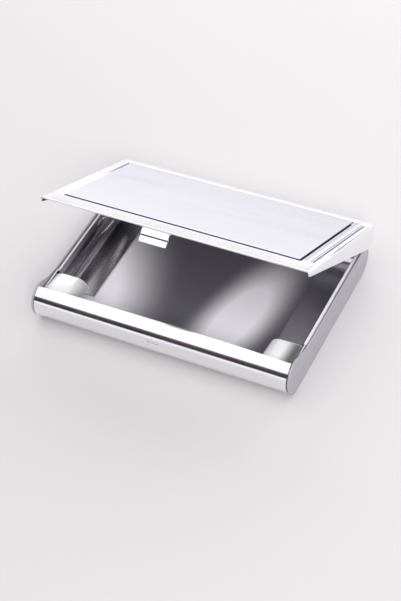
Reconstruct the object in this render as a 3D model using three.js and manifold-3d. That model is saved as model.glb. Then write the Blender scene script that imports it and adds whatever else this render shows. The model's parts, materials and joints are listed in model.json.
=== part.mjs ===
// Business card case: a shallow sheet-metal base with a rolled front edge, and a hinged lid with an
// inset panel. Millimetres, +Z up. X runs along the case, -Y is the front, and the origin is the middle
// of the flat underside.
import * as THREE from 'three';
import { mergeVertices } from 'three/addons/utils/BufferGeometryUtils.js';
import Module from 'manifold-3d';

const wasm = await Module();
wasm.setup();

// ---------- driving dimensions ----------
const caseLength = 94;            // over the two end plates
const baseDepth = 64.5;           // front of the roll to the back wall
const rollRadius = 6.4;           // half-round front edge
const rearRadius = 7;             // lower back edge
const shellSheet = 0.6;
const endPlateSheet = 0.7;
const sideTop = 10;               // height of the end plates behind the roll
const plateCorner = 2.5;          // radius of the end plate's upper back corner
const shoulderLength = 1.3;       // of the end plate's shoulder behind the roll, in roll radii
const shoulderCrownPull = 0.5;    // how far the shoulder's curve runs on level at its top, in roll radii
const shoulderFootPull = 0.7;     // the same at its foot
const rearWallTop = 9.4;
const lipAngle = 94.5;            // where the roll ends at mid length, in degrees round its centre
const lipBow = 0.8;               // the lip's edge draws back this much towards its ends
const seam = 0.3;                 // visible line between neighbouring sheets
const runningGap = 0.3;           // between the base and the lid

const linerSheet = 0.4;
const hemWidth = 1;
const hemDrop = 0.15;             // the liner's hem lies this far below the end plate's top
const linerFillet = 4;
const footWidth = 8;              // of the side liner's foot, past its fillet
const footLapShare = 2 / 3;       // of the foot's width that lies over the floor liner
const floorLift = 0.1;            // air under each liner sheet
const notchSetback = 16.2;        // from the front of the case to the front end of the liner's hem
const rimSheet = 0.4;             // narrow rim that carries on from the hem to the roll
const rimInset = 0.1;             // the rim's outer face inside the hem's
const rimDrop = 0.05;             // the rim's top below the hem's
const rimLap = 1;                 // length of rim inside the liner's front end
const linerRearGap = 0.3;

const clipSheet = 0.4;
const clipWidth = 11.8;
const clipLength = 13;
const clipShoulder = 4;
const clipTurn = 75;              // how far the inner edge bends down, in degrees
const clipOuterDrop = 0.8;        // the outer edge falls this much below the clip's top
const clipBendReach = 1.4;        // from the outer edge to the bend of its slope
const clipBendDrop = 0.25;        // the bend below the clip's top
const clipFlatReach = 3.2;        // from the outer edge to the flat of the clip
const clipShellGap = 0.1;         // between the clip's front end and the inside of the roll
const clipDrop = 0.3;             // below the hem
const clipWallClearance = 0.3;

const slotWidth = 4;
const slotHeight = 0.7;
const slotCentreX = -1.2;
const slotRise = 1.7;             // above the roll's centre
const catchWidth = 11;
const catchSheet = 0.4;
const catchBelowLip = 6;          // from the roll's lip to the catch's upper end, in degrees
const catchEnd = 172;             // where the catch ends, in degrees round the roll's centre
const lugInset = 0.15;            // between the catch's lug and the edges of the slot
const lugRecess = 0.3;            // the lug's face behind the roll's front
const lugRoot = 0.1;              // length of lug past the catch's sheet

const openAngle = 27.8;           // of the lid as it stands here
const hingeBehindBase = 2.15;     // hinge axis behind the back wall
const hingeHeight = 5.92;
const lidRise = 1.7;              // closed lid's top above the roll's
const lidOverhang = 0.9;          // lid's back wall behind the base's back wall, outside faces
const lidFrontClearance = 3;      // from the roll's lip to the closed lid's front edge, where the tab goes down
const lidSheet = 0.6;
const flangeSheet = 0.5;
const flangeFront = 1.8;          // flange depth at the front
const flangeRear = 8.5;           // flange depth at the back
const flangeCorner = 5.2;
const flangeCornerStart = 262;    // where the round of the flange's back corner starts, in degrees
const flangeNoseLength = 0.6;     // small slope at the flange's front end
const flangeNoseHeight = 0.5;
const lidBend = 0.9;              // outside radius of the lid's bends

const borderFront = 6.5;
const borderRear = 2.6;
const borderLeft = 3.6;
const borderRight = 5.9;
const panDepth = 0.75;
const panBevel = 0.4;
const panRearTrim = 0.1;          // taken off the recess's back wall, clear of the lid's back bend
const panelSheet = 0.4;
const panelClearance = 0.3;
const bondSheet = 0.2;
const bondInset = 2.5;
const glueLine = 0.05;
const ribWidth = 0.9;
const ribRise = 0.25;
const ribFromPan = 1.5;
const grooveWidth = 0.45;
const grooveDepth = 0.25;
const grooveFromRib = 0.8;
const ribEndInset = 1.2;

const tabWidth = 9.7;
const tabCentreX = -5;
const tabSheet = 0.5;
const tabRoot = 5.4;
const tabKnee = 0.2;              // the tab's bend before the lid's front edge
const tabUpper = 2.1;
const tabStep = 0.35;
const tabLower = 2.2;
const tabSlope = 63.5;            // below the lid's plane, in degrees

const knuckleRadius = 1.3;
const knuckleBore = 0.75;
const pinRadius = 0.45;
const pinHead = 0.9;
const pinHeadLength = 0.5;
const knuckleCount = 7;
const knuckleGap = 0.3;
const hingeEndInset = 3;          // from the end of the case to the end of the hinge
const leafSheet = 0.45;
const leafGap = 0.05;             // solder line under a hinge leaf
const leafOverlap = 2;            // of the lid's leaf on the lid's back wall
const leafWrap = 42;              // how far the base's leaf wraps the lower back edge, in degrees
const leafTopTurn = 13;           // the leaf's upper end below level, in degrees
const webHeight = 0.5;            // of the web between the base's leaf and a knuckle
const webRoot = 0.15;             // the web's start inside the leaf's sheet
const webLap = 0.2;               // the lid's web past the knuckle's centre and into its leaf
const pinHeadLap = 0.1;           // length of shank inside each head

const arcStep = 6;                // degrees between points on a round stretch
const rodSides = 32;
const bowSteps = 16;              // along the roll's lip
const shoulderSteps = 8;          // along the end plate's shoulder
const toolReach = 1;              // how far a cutting tool stands clear of what it cuts

// ---------- places worked out from them ----------
const frontY = -baseDepth / 2;
const rearY = baseDepth / 2;
const plateInner = caseLength / 2 - endPlateSheet;
const shellEnd = plateInner - seam;
const rollCentre = [frontY + rollRadius, rollRadius];
const rearCentre = [rearY - rearRadius, rearRadius];
const hemTop = sideTop - hemDrop;
const rimX1 = shellEnd - rimInset;
const rimX0 = rimX1 - rimSheet;
const linerWallX = shellEnd - hemWidth;
const floorTop = shellSheet + floorLift + linerSheet;
const footTop = floorTop + floorLift + linerSheet;
const linerFrontY = frontY + notchSetback;
const hingeY = rearY + hingeBehindBase;
const hingeZ = hingeHeight;
const lidRearY = rearY + lidOverhang;
const lipEdgeY = rollCentre[0] + rollRadius * Math.cos(THREE.MathUtils.degToRad(lipAngle));
const lidFrontY = lipEdgeY + lidFrontClearance;
const lidTop = 2 * rollRadius + lidRise;
const lidInnerX = caseLength / 2 + runningGap;
const lidHalf = lidInnerX + flangeSheet;
const panTop = lidTop - panDepth;
const panX0 = -lidHalf + borderLeft;
const panX1 = lidHalf - borderRight;
const panY0 = lidFrontY + borderFront;
const panY1 = lidRearY - borderRear;
const hingeHalf = caseLength / 2 - hingeEndInset;

// ---------- finishes ----------
const finish = (color, roughness) => new THREE.MeshStandardMaterial({ color, roughness, metalness: 1 });
const polished = finish(0xe4e4ea, 0.12);
const mirrorLiner = finish(0xc9c8d0, 0.1);
const satinPlate = finish(0xb4b3bd, 0.4);
const satinLid = finish(0xe2e2ee, 0.35);
const springSteel = finish(0xd6d6dc, 0.2);
const hingeSteel = finish(0xa9a9b0, 0.3);
const bondGrey = new THREE.MeshStandardMaterial({ color: 0x8a8a8e, roughness: 0.9, metalness: 0 });

// ---------- geometry helpers ----------
const radians = THREE.MathUtils.degToRad;
const alongX = new THREE.Matrix4().makeBasis(
  new THREE.Vector3(0, 1, 0), new THREE.Vector3(0, 0, 1), new THREE.Vector3(1, 0, 0));
const alongMinusY = new THREE.Matrix4().makeBasis(
  new THREE.Vector3(1, 0, 0), new THREE.Vector3(0, 0, 1), new THREE.Vector3(0, -1, 0));

function arc(centre, radius, from, to) {
  const steps = Math.max(2, Math.ceil(Math.abs(to - from) / arcStep));
  return Array.from({ length: steps + 1 }, (_, i) => {
    const angle = radians(from + ((to - from) * i) / steps);
    return [centre[0] + radius * Math.cos(angle), centre[1] + radius * Math.sin(angle)];
  });
}

// Outline of a sheet whose outer face follows the path and whose thickness lies to the path's left.
function sheetOutline(path, thickness) {
  const unit = (a, b) => new THREE.Vector2(b[0] - a[0], b[1] - a[1]).normalize();
  const inner = path.map((point, i) => {
    const before = unit(path[Math.max(i - 1, 0)], path[Math.max(i, 1)]);
    const after = unit(path[Math.min(i, path.length - 2)], path[Math.min(i + 1, path.length - 1)]);
    const mean = before.clone().add(after).normalize();
    const reach = thickness / mean.dot(before);
    return [point[0] - mean.y * reach, point[1] + mean.x * reach];
  });
  return [...path, ...inner.reverse()];
}

function extrude(outline, depth) {
  const shape = new THREE.Shape(outline.map(([a, b]) => new THREE.Vector2(a, b)));
  return new THREE.ExtrudeGeometry(shape, { depth, bevelEnabled: false, steps: 1 });
}

// A side profile in (y, z), drawn out from x0 to x1.
const profileYZ = (outline, x0, x1) => extrude(outline, x1 - x0).applyMatrix4(alongX).translate(x0, 0, 0);

// An end profile in (x, z), drawn out from y0 to y1.
const profileXZ = (outline, y0, y1) => extrude(outline, y1 - y0)
  .applyMatrix4(alongMinusY).translate(0, y1, 0);

function box(x0, x1, y0, y1, z0, z1) {
  const geometry = new THREE.BoxGeometry(x1 - x0, y1 - y0, z1 - z0);
  return geometry.translate((x0 + x1) / 2, (y0 + y1) / 2, (z0 + z1) / 2);
}

function rodX(radius, x0, x1, y, z) {
  const rod = new THREE.CylinderGeometry(radius, radius, x1 - x0, rodSides);
  return rod.rotateZ(Math.PI / 2).translate((x0 + x1) / 2, y, z);
}

function toSolid(geometry) {
  geometry.deleteAttribute('normal');
  geometry.deleteAttribute('uv');
  const merged = mergeVertices(geometry, 1e-5);
  return new wasm.Manifold(new wasm.Mesh({
    numProp: 3,
    vertProperties: new Float32Array(merged.attributes.position.array),
    triVerts: new Uint32Array(merged.index.array),
  }));
}

function fromSolid(solid) {
  const mesh = solid.getMesh();
  const geometry = new THREE.BufferGeometry();
  geometry.setAttribute('position', new THREE.BufferAttribute(new Float32Array(mesh.vertProperties), 3));
  geometry.setIndex(new THREE.BufferAttribute(new Uint32Array(mesh.triVerts), 1));
  return geometry;
}

const join = (...parts) => fromSolid(parts.map(toSolid).reduce((sum, next) => sum.add(next)));
const cut = (body, ...tools) => fromSolid(
  tools.map(toSolid).reduce((rest, tool) => rest.subtract(tool), toSolid(body)));
const overlap = (a, b) => fromSolid(toSolid(a).intersect(toSolid(b)));

function addMesh(group, name, geometry, material) {
  const mesh = new THREE.Mesh(geometry, material);
  mesh.name = name;
  group.add(mesh);
}

// The same geometry on the other side of the X = 0 plane, with its faces still pointing out.
function mirrored(geometry) {
  const copy = mergeVertices(geometry.clone().deleteAttribute('normal').deleteAttribute('uv'), 1e-5);
  copy.scale(-1, 1, 1);
  const index = copy.index.array;
  for (let i = 0; i < index.length; i += 3) {
    [index[i + 1], index[i + 2]] = [index[i + 2], index[i + 1]];
  }
  return copy;
}

// ---------- base ----------
const insideOfShell = (gap) => {
  const inset = shellSheet + gap;
  return [
    ...arc(rollCentre, rollRadius - inset, 90, 270),
    ...arc(rearCentre, rearRadius - inset, 270, 360),
    [rearY - inset, lidTop],
    [rollCentre[0], lidTop],
  ];
};

function baseShell() {
  const path = [
    ...arc(rollCentre, rollRadius, 90, 270),
    ...arc(rearCentre, rearRadius, 270, 360),
    [rearY, rearWallTop],
  ];
  const sheet = profileYZ(sheetOutline(path, shellSheet), -shellEnd, shellEnd);
  const slotZ = rollCentre[1] + slotRise;
  const slot = box(slotCentreX - slotWidth / 2, slotCentreX + slotWidth / 2,
    frontY - toolReach, rollCentre[0] - rollRadius / 2, slotZ - slotHeight / 2, slotZ + slotHeight / 2);
  return cut(sheet, slot, behindLip());
}

// What is cut away behind the roll's lip, so that the lip's edge is a shallow bow.
function behindLip() {
  const edge = Array.from({ length: bowSteps + 1 }, (_, i) => {
    const x = shellEnd * ((2 * i) / bowSteps - 1);
    return [x, lipEdgeY - lipBow * (x / shellEnd) ** 2];
  });
  edge[0][0] -= toolReach;
  edge[bowSteps][0] += toolReach;
  const outline = [...edge, [shellEnd + toolReach, linerFrontY], [-shellEnd - toolReach, linerFrontY]];
  return extrude(outline, rollRadius + toolReach).translate(0, 0, rollRadius);
}

function endPlate() {
  const crown = new THREE.Vector2(rollCentre[0], 2 * rollRadius);
  const foot = new THREE.Vector2(crown.x + shoulderLength * rollRadius, sideTop);
  const shoulder = new THREE.CubicBezierCurve(
    crown,
    new THREE.Vector2(crown.x + shoulderCrownPull * rollRadius, crown.y),
    new THREE.Vector2(foot.x - shoulderFootPull * rollRadius, foot.y),
    foot);
  const outline = [
    ...arc(rollCentre, rollRadius, 90, 270),
    ...arc(rearCentre, rearRadius, 270, 360),
    ...arc([rearY - plateCorner, sideTop - plateCorner], plateCorner, 0, 90),
    ...shoulder.getPoints(shoulderSteps).reverse().map((point) => [point.x, point.y]).slice(0, -1),
  ];
  return profileYZ(outline, plateInner, caseLength / 2);
}

function floorLiner() {
  const halfWidth = linerWallX - linerFillet - footWidth * (1 - footLapShare);
  return box(-halfWidth, halfWidth, rollCentre[0], rearCentre[0], floorTop - linerSheet, floorTop);
}

// Curved wall with a hem along its top and a foot that laps the floor liner.
function sideLiner() {
  const filletCentre = [linerWallX - linerFillet, footTop + linerFillet];
  const innerFace = [
    [filletCentre[0] - footWidth, footTop],
    ...arc(filletCentre, linerFillet, 270, 360),
    [linerWallX, hemTop - linerSheet],
  ];
  const wall = profileXZ(sheetOutline(innerFace.reverse(), linerSheet), linerFrontY, rearY);
  const hem = box(linerWallX, shellEnd, linerFrontY, rearY, hemTop - linerSheet, hemTop);
  const rim = box(rimX0, rimX1, lipEdgeY, linerFrontY + rimLap, footTop + linerFillet, hemTop - rimDrop);
  const envelope = profileYZ(insideOfShell(linerRearGap), 0, caseLength);
  return overlap(join(wall, hem, rim), envelope);
}

// Arched sheet that holds down a corner of the cards; its front end is tucked under the roll.
function cornerClip() {
  const top = hemTop - clipDrop;
  const wallEnd = rimX0 - clipWallClearance;
  const innerEnd = wallEnd - clipWidth;
  const shoulderCentre = [innerEnd + clipShoulder, top - clipShoulder];
  const path = [
    [wallEnd, top - clipOuterDrop],
    [wallEnd - clipBendReach, top - clipBendDrop],
    [wallEnd - clipFlatReach, top],
    ...arc(shoulderCentre, clipShoulder, 90, 90 + clipTurn),
  ];
  const clipRearY = linerFrontY - seam;
  const sheet = profileXZ(sheetOutline(path, clipSheet), clipRearY - clipLength, clipRearY);
  return overlap(sheet, profileYZ(insideOfShell(clipShellGap), 0, caseLength));
}

function catchSpring() {
  const outer = rollRadius - shellSheet - leafGap;
  const path = arc(rollCentre, outer, lipAngle + catchBelowLip, catchEnd);
  const x0 = tabCentreX - catchWidth / 2;
  const strip = profileYZ(sheetOutline(path, catchSheet), x0, x0 + catchWidth);
  const slotZ = rollCentre[1] + slotRise;
  const lug = box(slotCentreX - slotWidth / 2 + lugInset, slotCentreX + slotWidth / 2 - lugInset,
    frontY + lugRecess, frontY + shellSheet + catchSheet + lugRoot,
    slotZ - slotHeight / 2 + lugInset, slotZ + slotHeight / 2 - lugInset);
  return join(strip, lug);
}

// ---------- lid, drawn closed ----------
function roundedTop(halfWidth, top, bottom, radius) {
  return [
    [-halfWidth, bottom],
    [halfWidth, bottom],
    ...arc([halfWidth - radius, top - radius], radius, 0, 90),
    ...arc([-halfWidth + radius, top - radius], radius, 90, 180),
  ];
}

function lidSideOutline() {
  const cornerCentre = [lidRearY - flangeCorner, lidTop - flangeRear + flangeCorner];
  return [
    [lidFrontY, lidTop],
    [lidFrontY, lidTop - flangeFront + flangeNoseHeight],
    [lidFrontY + flangeNoseLength, lidTop - flangeFront],
    ...arc(cornerCentre, flangeCorner, flangeCornerStart, 360),
    ...arc([lidRearY - lidBend, lidTop - lidBend], lidBend, 0, 90),
  ];
}

function lidShell() {
  const bottom = lidTop - flangeRear - toolReach;
  const ends = profileXZ(roundedTop(lidHalf, lidTop, bottom, lidBend),
    lidFrontY - toolReach, lidRearY + toolReach);
  const outside = overlap(ends, profileYZ(lidSideOutline(), -lidHalf - toolReach, lidHalf + toolReach));
  const innerBend = lidBend - flangeSheet;
  const hollow = profileXZ(roundedTop(lidInnerX, lidTop - lidSheet, bottom - toolReach, innerBend),
    lidFrontY - 2 * toolReach, lidRearY - lidSheet);
  const bare = cut(outside, hollow);
  const pan = box(panX0 - lidSheet, panX1 + lidSheet, panY0 - lidSheet, panY1 + lidSheet - panRearTrim,
    panTop - lidSheet, lidTop - lidSheet / 2);
  const ribX = panX1 + ribFromPan;
  const rib = box(ribX, ribX + ribWidth, panY0 + ribEndInset, panY1 - ribEndInset,
    lidTop - lidSheet / 2, lidTop + ribRise);
  const grooveX = ribX + ribWidth + grooveFromRib;
  const groove = box(grooveX, grooveX + grooveWidth, panY0 + ribEndInset, panY1 - ribEndInset,
    lidTop - grooveDepth, lidTop + toolReach);
  return cut(join(bare, pan, rib), panHollow(), groove);
}

// The recess for the panel, with sloping sides.
function panHollow() {
  const bevel = new THREE.CylinderGeometry(Math.SQRT1_2, Math.SQRT1_2, 1, 4, 1).rotateY(Math.PI / 4);
  const height = panDepth + toolReach / 2;
  const spread = (panBevel * height) / panDepth;
  const width = panX1 - panX0;
  const depth = panY1 - panY0;
  const hollow = bevel.rotateX(Math.PI / 2).translate(0, 0, 0.5);
  const position = hollow.attributes.position;
  for (let i = 0; i < position.count; i += 1) {
    const rise = position.getZ(i);
    position.setX(i, position.getX(i) * (width - 2 * panBevel + 2 * spread * rise));
    position.setY(i, position.getY(i) * (depth - 2 * panBevel + 2 * spread * rise));
    position.setZ(i, panTop + rise * height);
  }
  return hollow.translate((panX0 + panX1) / 2, (panY0 + panY1) / 2, 0);
}

function lidPanel() {
  const inset = panBevel + panelClearance;
  const bottom = panTop + 2 * glueLine + bondSheet;
  return box(panX0 + inset, panX1 - inset, panY0 + inset, panY1 - inset, bottom, bottom + panelSheet);
}

function panelBond() {
  const inset = panBevel + bondInset;
  return box(panX0 + inset, panX1 - inset, panY0 + inset, panY1 - inset,
    panTop + glueLine, panTop + glueLine + bondSheet);
}

// Spring tab: a root under the lid's front edge, then a sloping face with a step across its middle.
function thumbTab() {
  const rootTop = lidTop - lidSheet - leafGap;
  const slope = radians(180 + tabSlope);
  const along = (point, length) => [point[0] + length * Math.cos(slope), point[1] + length * Math.sin(slope)];
  const inward = (point, depth) => [point[0] - depth * Math.sin(slope), point[1] + depth * Math.cos(slope)];
  const knee = [lidFrontY - tabKnee, rootTop];
  const stepStart = along(knee, tabUpper);
  const stepEnd = inward(stepStart, tabStep);
  const tip = along(stepEnd, tabLower);
  const path = [[lidFrontY + tabRoot, rootTop], knee, stepStart, stepEnd, tip];
  return profileYZ(sheetOutline(path, tabSheet), tabCentreX - tabWidth / 2, tabCentreX + tabWidth / 2);
}

// ---------- hinge ----------
const knucklePitch = (2 * hingeHalf) / knuckleCount;

function knuckleSpans(first) {
  const spans = [];
  for (let i = first; i < knuckleCount; i += 2) {
    const start = -hingeHalf + i * knucklePitch;
    spans.push([start + knuckleGap / 2, start + knucklePitch - knuckleGap / 2]);
  }
  return spans;
}

// A leaf's own sheet, with a knuckle and a web on each of its spans, bored for the pin.
function hingeLeaf(sheet, webOutline, first) {
  const bore = rodX(knuckleBore, -hingeHalf - toolReach, hingeHalf + toolReach, hingeY, hingeZ);
  const knuckles = knuckleSpans(first).flatMap(([x0, x1]) => [
    rodX(knuckleRadius, x0, x1, hingeY, hingeZ),
    profileYZ(webOutline, x0, x1),
  ]);
  return cut(join(sheet, ...knuckles), bore);
}

function baseHingeLeaf() {
  const face = rearRadius + leafGap;
  const outline = [
    ...arc(rearCentre, face + leafSheet, -leafTopTurn - leafWrap, -leafTopTurn),
    ...arc(rearCentre, face, -leafTopTurn, -leafTopTurn - leafWrap),
  ];
  const sheet = profileYZ(outline, -hingeHalf, hingeHalf);
  const webBottom = hingeZ - knuckleRadius;
  const webTop = webBottom + webHeight;
  const webStart = rearCentre[0] + face * Math.cos(Math.asin((rearRadius - webBottom) / face)) + webRoot;
  const web = [[webStart, webBottom], [hingeY, webBottom], [hingeY, webTop], [webStart, webTop]];
  return hingeLeaf(sheet, web, 0);
}

function lidHingeLeaf() {
  const y0 = lidRearY + leafGap;
  const y1 = y0 + leafSheet;
  const wallFoot = lidTop - flangeRear + flangeCorner;
  const top = wallFoot + leafOverlap;
  const clearOfKnuckles = hingeZ + knuckleRadius + runningGap;
  const sheet = box(-hingeHalf, hingeHalf, y0, y1, clearOfKnuckles, top);
  const webBottom = hingeZ + webLap;
  const webTop = clearOfKnuckles + webLap;
  const web = [[y0, webBottom], [y1, webBottom], [y1, webTop], [y0, webTop]];
  return hingeLeaf(sheet, web, 1);
}

function hingePin() {
  const head = (side) => {
    const inner = side * (hingeHalf + runningGap);
    const outer = inner + side * pinHeadLength;
    return rodX(pinHead, Math.min(inner, outer), Math.max(inner, outer), hingeY, hingeZ);
  };
  const shankHalf = hingeHalf + runningGap + pinHeadLap;
  const shank = rodX(pinRadius, -shankHalf, shankHalf, hingeY, hingeZ);
  return join(shank, head(-1), head(1));
}

// ---------- assembly ----------
const cardCase = new THREE.Group();
const base = new THREE.Group();
cardCase.add(base);
addMesh(base, 'base_shell', baseShell(), polished);
addMesh(base, 'right_end_plate', endPlate(), satinPlate);
addMesh(base, 'left_end_plate', mirrored(endPlate()), satinPlate);
addMesh(base, 'floor_liner', floorLiner(), mirrorLiner);
addMesh(base, 'right_side_liner', sideLiner(), mirrorLiner);
addMesh(base, 'left_side_liner', mirrored(sideLiner()), mirrorLiner);
addMesh(base, 'right_corner_clip', cornerClip(), springSteel);
addMesh(base, 'left_corner_clip', mirrored(cornerClip()), springSteel);
addMesh(base, 'catch_spring', catchSpring(), springSteel);
addMesh(base, 'base_hinge_leaf', baseHingeLeaf(), hingeSteel);
addMesh(base, 'hinge_pin', hingePin(), hingeSteel);

// The lid's pieces are drawn closed and turned about the hinge axis to where the lid stands.
const lidPivot = new THREE.Group();
lidPivot.position.set(0, hingeY, hingeZ);
lidPivot.rotation.x = -radians(openAngle);
cardCase.add(lidPivot);
const lid = new THREE.Group();
lid.position.set(0, -hingeY, -hingeZ);
lidPivot.add(lid);
addMesh(lid, 'lid_shell', lidShell(), polished);
addMesh(lid, 'lid_panel', lidPanel(), satinLid);
addMesh(lid, 'panel_bond_sheet', panelBond(), bondGrey);
addMesh(lid, 'thumb_tab', thumbTab(), springSteel);
addMesh(lid, 'lid_hinge_leaf', lidHingeLeaf(), hingeSteel);

export default cardCase;
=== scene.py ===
import json
import math

import bmesh
import bpy
from bpy.props import FloatProperty, FloatVectorProperty, IntProperty, PointerProperty
from mathutils import Matrix, Vector


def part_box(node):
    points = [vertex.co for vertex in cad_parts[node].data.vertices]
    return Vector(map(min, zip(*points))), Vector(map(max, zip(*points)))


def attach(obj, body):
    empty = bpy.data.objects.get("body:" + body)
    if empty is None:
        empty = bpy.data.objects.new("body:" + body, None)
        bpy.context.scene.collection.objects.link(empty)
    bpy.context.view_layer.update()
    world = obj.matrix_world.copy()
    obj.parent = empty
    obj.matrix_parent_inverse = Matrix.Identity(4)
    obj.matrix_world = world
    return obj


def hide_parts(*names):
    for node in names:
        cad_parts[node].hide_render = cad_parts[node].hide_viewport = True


bl_info = {
    "name": "Business Card Case",
    "version": (1, 0, 0),
    "blender": (4, 5, 0),
    "location": "View3D > Sidebar > Card Case",
    "description": "Models the sheet metal of a hinged business card case around its packed frame",
    "category": "Object",
}

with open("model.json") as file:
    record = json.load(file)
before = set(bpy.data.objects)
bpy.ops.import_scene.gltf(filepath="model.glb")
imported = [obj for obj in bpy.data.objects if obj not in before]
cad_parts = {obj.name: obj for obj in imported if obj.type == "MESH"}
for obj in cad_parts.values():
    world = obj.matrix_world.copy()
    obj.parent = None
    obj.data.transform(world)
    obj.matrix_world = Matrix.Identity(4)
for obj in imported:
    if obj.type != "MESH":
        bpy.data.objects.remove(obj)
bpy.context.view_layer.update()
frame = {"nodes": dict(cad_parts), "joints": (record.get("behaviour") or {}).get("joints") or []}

MM = 0.001
CLOSE = 1e-6
NEARBY = 0.1 * MM
SHARP = math.radians(35)


# ---------- places taken from the frame ----------
class Place:
    """Where the sheets lie, in metres, worked out from the frame's nodes."""

    shell_low, shell_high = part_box("base_shell")
    plate_low, plate_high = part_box("right_end_plate")
    liner_low, liner_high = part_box("right_side_liner")
    clip_low, clip_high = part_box("right_corner_clip")
    floor_low, floor_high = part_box("floor_liner")
    roll_radius = shell_high.z / 2
    roll_y = shell_low.y + roll_radius
    shell_end = shell_high.x
    hinge = next(joint for joint in frame["joints"] if joint["name"] == "lid_hinge")
    pivot = Vector(hinge["pos_m"])
    open_angle = -math.radians(hinge["range_deg"][0])
    lid_turn = (Matrix.Translation(pivot) @ Matrix.Rotation(-open_angle, 4, "X")
                @ Matrix.Translation(-pivot))


def corners_of(points):
    """Lowest and highest corner of the box round some points."""
    low = Vector([min(p[axis] for p in points) for axis in range(3)])
    high = Vector([max(p[axis] for p in points) for axis in range(3)])
    return low, high


def closed_box(node):
    """Lowest and highest corner of one of the lid's CAD nodes with the lid turned shut."""
    back = Place.lid_turn.inverted()
    return corners_of([back @ vertex.co for vertex in frame["nodes"][node].data.vertices])


def top_behind(node, y):
    """Highest point of a CAD node behind a given y."""
    return max(v.co.z for v in frame["nodes"][node].data.vertices if v.co.y > y)


# ---------- what a user may change ----------
class CardCaseSizes(bpy.types.PropertyGroup):
    """Sizes of the sheets and of their edges."""

    sheet: FloatProperty(
        name="Sheet", description="Thickness of the body's and the lid's sheet",
        default=0.6 * MM, min=0.2 * MM, subtype="DISTANCE", unit="LENGTH")
    liner_sheet: FloatProperty(
        name="Liner Sheet", description="Thickness of the liners and the clips",
        default=0.4 * MM, min=0.1 * MM, subtype="DISTANCE", unit="LENGTH")
    rear_radius: FloatProperty(
        name="Back Radius", description="Radius of the body's lower back edge",
        default=7 * MM, min=2 * MM, subtype="DISTANCE", unit="LENGTH")
    lip_setback: FloatProperty(
        name="Lip Setback", description="How far before the roll's crown its lip ends, on average",
        default=0.85 * MM, min=0, subtype="DISTANCE", unit="LENGTH")
    lip_bow: FloatProperty(
        name="Lip Bow", description="How far the lip's edge draws back from its middle to its ends",
        default=0.8 * MM, min=0, subtype="DISTANCE", unit="LENGTH")
    edge_round: FloatProperty(
        name="Edge Round", description="Width of the small round on each cut edge",
        default=0.1 * MM, min=0.02 * MM, subtype="DISTANCE", unit="LENGTH")
    lid_round: FloatProperty(
        name="Lid Edge Round", description="Width of the round on the lid's cut edges",
        default=0.2 * MM, min=0.02 * MM, subtype="DISTANCE", unit="LENGTH")
    rim_round: FloatProperty(
        name="Rim Round", description="Width of the polished round along the end plates",
        default=0.22 * MM, min=0.02 * MM, subtype="DISTANCE", unit="LENGTH")
    liner_fillet: FloatProperty(
        name="Liner Fillet", description="Inner radius between the liner's wall and its foot",
        default=4 * MM, min=1 * MM, subtype="DISTANCE", unit="LENGTH")
    clip_shoulder: FloatProperty(
        name="Clip Shoulder", description="Radius of the corner clips' inner shoulder",
        default=4 * MM, min=1 * MM, subtype="DISTANCE", unit="LENGTH")
    lid_bend: FloatProperty(
        name="Lid Bend", description="Outer radius of the lid's bends",
        default=0.9 * MM, min=0.3 * MM, subtype="DISTANCE", unit="LENGTH")
    round_steps: IntProperty(
        name="Round Steps", description="Steps round a quarter turn of a rolled sheet",
        default=24, min=6, max=64)


class CardCaseColours(bpy.types.PropertyGroup):
    """Colours of the metals."""

    polished: FloatVectorProperty(
        name="Polished Steel", description="Body and lid shell",
        default=(0.92, 0.92, 0.94), min=0, max=1, size=3, subtype="COLOR")
    liner: FloatVectorProperty(
        name="Mirror Liner", description="Side walls of the card space",
        default=(0.36, 0.35, 0.38), min=0, max=1, size=3, subtype="COLOR")
    # Painted shade: the floor's colour outside its painted highlights.
    floor_painted_shade: FloatVectorProperty(
        name="Floor Shade", description="Floor of the card space where its satin is deep",
        default=(0.105, 0.1, 0.12), min=0, max=1, size=3, subtype="COLOR")
    # Painted highlight: the floor's colour in the middle of its two soft glows.
    floor_painted_highlight: FloatVectorProperty(
        name="Floor Shine", description="Floor of the card space where cards have polished it",
        default=(0.95, 0.94, 0.99), min=0, max=1, size=3, subtype="COLOR")
    # Dark blue colour painted into the lid border's sunk lines as their shade; darkened, it is also the
    # painted shadow in the panel's gap and the tab's channel.
    groove: FloatVectorProperty(
        name="Groove", description="Blued groove in the lid's border",
        default=(0.03, 0.07, 0.16), min=0, max=1, size=3, subtype="COLOR")
    plate: FloatVectorProperty(
        name="Satin Plate", description="End plates",
        default=(0.47, 0.46, 0.51), min=0, max=1, size=3, subtype="COLOR")
    panel: FloatVectorProperty(
        name="Satin Panel", description="Inset panel of the lid",
        default=(0.54, 0.54, 0.59), min=0, max=1, size=3, subtype="COLOR")
    spring: FloatVectorProperty(
        name="Spring Steel", description="Clips, hems, thumb tab and catch",
        default=(0.95, 0.95, 0.97), min=0, max=1, size=3, subtype="COLOR")


def sizes():
    return bpy.context.scene.card_case_sizes


def colours():
    return bpy.context.scene.card_case_colours


# ---------- modelling helpers ----------
def deselect_all():
    active = bpy.context.view_layer.objects.active
    if active is not None and active.mode != "OBJECT":
        bpy.ops.object.mode_set(mode="OBJECT")
    bpy.ops.object.select_all(action="DESELECT")


def span_middle(low, high):
    return [(a + b) / 2 for a, b in zip(low, high)]


def add_box(name, low, high):
    """A cube from corner to corner, with its place in its mesh."""
    deselect_all()
    bpy.ops.mesh.primitive_cube_add(size=1, location=span_middle(low, high))
    piece = bpy.context.object
    piece.name = name
    piece.scale = [b - a for a, b in zip(low, high)]
    bpy.ops.object.transform_apply(location=True, rotation=True, scale=True)
    return piece


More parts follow.
